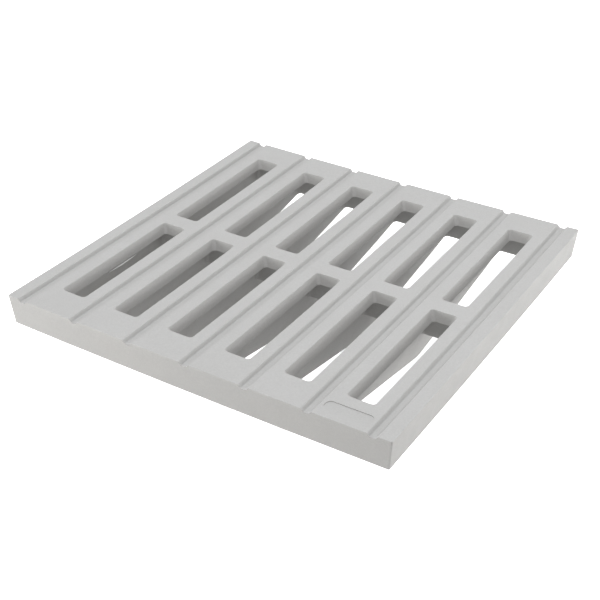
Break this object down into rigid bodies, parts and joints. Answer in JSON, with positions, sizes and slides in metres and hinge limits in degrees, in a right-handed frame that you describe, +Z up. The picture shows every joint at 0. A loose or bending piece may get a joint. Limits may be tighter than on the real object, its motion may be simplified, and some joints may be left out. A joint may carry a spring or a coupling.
{
  "type": "grating panel",
  "caption": "Square slotted grating panel: cast ribbed plate with tapered slots, shallow drain grooves and V-bellied ribs round a sealed steel cage.",
  "frame": {"origin": "under the middle of the panel, level with the lowest line of the ribs", "axes": "+Z up out of the walking face; +Y along the ribs, beams and grooves; +X across them; the blank name plate field is at -Y, +X"},
  "size_m": [0.4998, 0.4998, 0.0819],
  "materials": {
    "casting": "matt light grey mineral-filled composite, finely grained, slightly uneven in tone",
    "steel": "mill-finish round bar with thin dark scale"
  },
  "bodies": {
    "root": {"grating_casting": "casting", "top_bar_1": "steel", "top_bar_2": "steel", "top_bar_3": "steel", "top_bar_4": "steel", "top_bar_5": "steel", "top_bar_6": "steel", "top_bar_7": "steel", "rib_bar_1": "steel", "rib_bar_2": "steel", "rib_bar_3": "steel", "rib_bar_4": "steel", "rib_bar_5": "steel", "rib_struts_1": "steel", "rib_struts_2": "steel", "rib_struts_3": "steel", "rib_struts_4": "steel", "rib_struts_5": "steel", "left_rim_bar": "steel", "right_rim_bar": "steel", "front_upper_cross_bar": "steel", "front_lower_cross_bar": "steel", "middle_upper_cross_bar": "steel", "middle_lower_cross_bar": "steel", "rear_upper_cross_bar": "steel", "rear_lower_cross_bar": "steel"}
  },
  "joints": []
}
